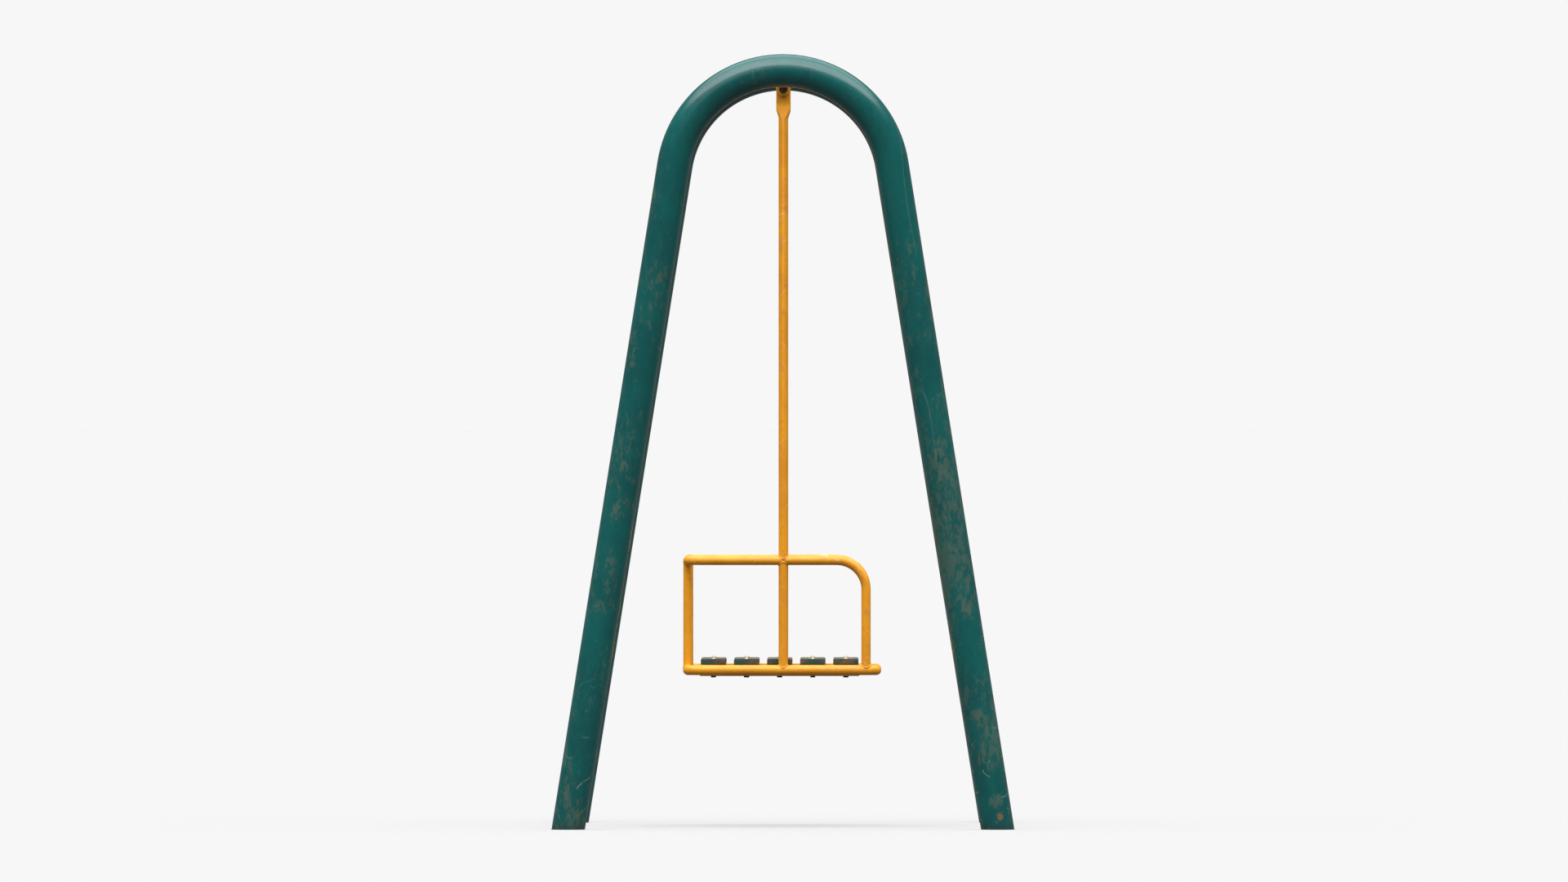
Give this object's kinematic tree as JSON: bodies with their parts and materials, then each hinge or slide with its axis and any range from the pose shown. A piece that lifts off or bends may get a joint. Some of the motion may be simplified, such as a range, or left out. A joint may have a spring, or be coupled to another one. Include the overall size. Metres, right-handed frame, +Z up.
{
  "type": "glider swing",
  "caption": "Playground glider swing: a slatted seat with armrests hangs on rigid rods from a crossbar between hairpin arches of large pipe.",
  "frame": {"origin": "on the ground, under the middle of the crossbar and midway between the arches", "axes": "+Z up; +X the way the seated child faces and swings; +Y along the crossbar, towards the left arch"},
  "size_m": [1.242, 1.5888, 2.0797],
  "materials": {
    "arch_green_paint": "gloss teal green enamel over steel, scuffed and rusted through in patches",
    "orange_paint": "satin orange yellow enamel over steel, worn and grimy",
    "slat_wood": "dark green painted softwood, worn back to brown timber on top",
    "bolt_steel": "plain steel, dark with old rust",
    "nut_steel": "plain steel, dark with old rust",
    "washer_steel": "dull zinc-plated steel",
    "screw_zinc": "pale zinc-plated steel, polished by wear",
    "bush_bronze": "oiled sintered bronze"
  },
  "bodies": {
    "frame": {"right_arch": "arch_green_paint", "left_arch": "arch_green_paint", "crossbar": "arch_green_paint", "right_outer_lug": "orange_paint", "right_inner_lug": "orange_paint", "right_pivot_bolt": "bolt_steel", "right_pivot_nut": "bolt_steel", "left_outer_lug": "orange_paint", "left_inner_lug": "orange_paint", "left_pivot_bolt": "bolt_steel", "left_pivot_nut": "bolt_steel", "pivot_washers": "washer_steel", "thrust_washers": "washer_steel"},
    "seat": {"armrest_hoop": "orange_paint", "seat_loop": "orange_paint", "right_hanger_rod": "orange_paint", "right_pivot_bush": "bush_bronze", "right_centre_post": "orange_paint", "right_back_post": "orange_paint", "right_slat_support": "orange_paint", "left_hanger_rod": "orange_paint", "left_pivot_bush": "bush_bronze", "left_centre_post": "orange_paint", "left_back_post": "orange_paint", "left_slat_support": "orange_paint", "slat_1": "slat_wood", "slat_2": "slat_wood", "slat_3": "slat_wood", "slat_4": "slat_wood", "slat_5": "slat_wood", "slat_screws": "screw_zinc", "slat_nuts": "nut_steel"}
  },
  "joints": [
    {"name": "seat_swing", "type": "hinge", "parent": "frame", "child": "seat", "pos_m": [0, 0, 1.989], "axis": [0, 1, 0], "range_deg": [-60, 60]}
  ]
}
